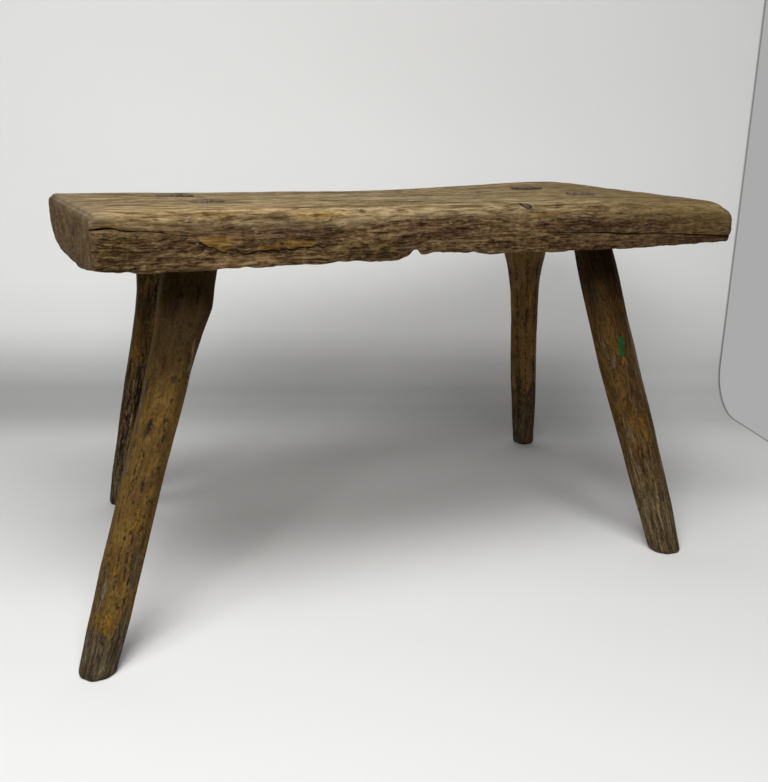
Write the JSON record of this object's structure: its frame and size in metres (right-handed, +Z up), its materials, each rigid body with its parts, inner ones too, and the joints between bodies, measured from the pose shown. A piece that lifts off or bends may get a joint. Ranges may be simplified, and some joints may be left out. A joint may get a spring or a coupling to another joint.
{
  "type": "milking stool",
  "caption": "Low rustic milking stool: a thick hewn rectangular wooden slab on splayed, hand-hewn legs whose round through tenons are wedged in the seat.",
  "frame": {"origin": "on the floor, in the middle of the stool's outer box", "axes": "+X along the seat's length towards its higher, rounded end, +Y from the front face to the back, +Z up"},
  "size_m": [0.6634, 0.383, 0.363],
  "materials": {
    "seat_wood": "bare weathered wood, dry and worn smooth on top",
    "leg_paint": "worn ochre paint over hewn wood",
    "wedge_wood": "bare darkened end grain",
    "tag_paper": "plain matt green, no marks"
  },
  "bodies": {
    "root": {"seat": "seat_wood", "leg_front_left": "leg_paint", "leg_front_right": "leg_paint", "leg_back_left": "leg_paint", "leg_back_right": "leg_paint", "wedge_front_left": "wedge_wood", "wedge_front_right": "wedge_wood", "wedge_back_left": "wedge_wood", "wedge_back_right": "wedge_wood", "green_tag": "tag_paper"}
  },
  "joints": []
}
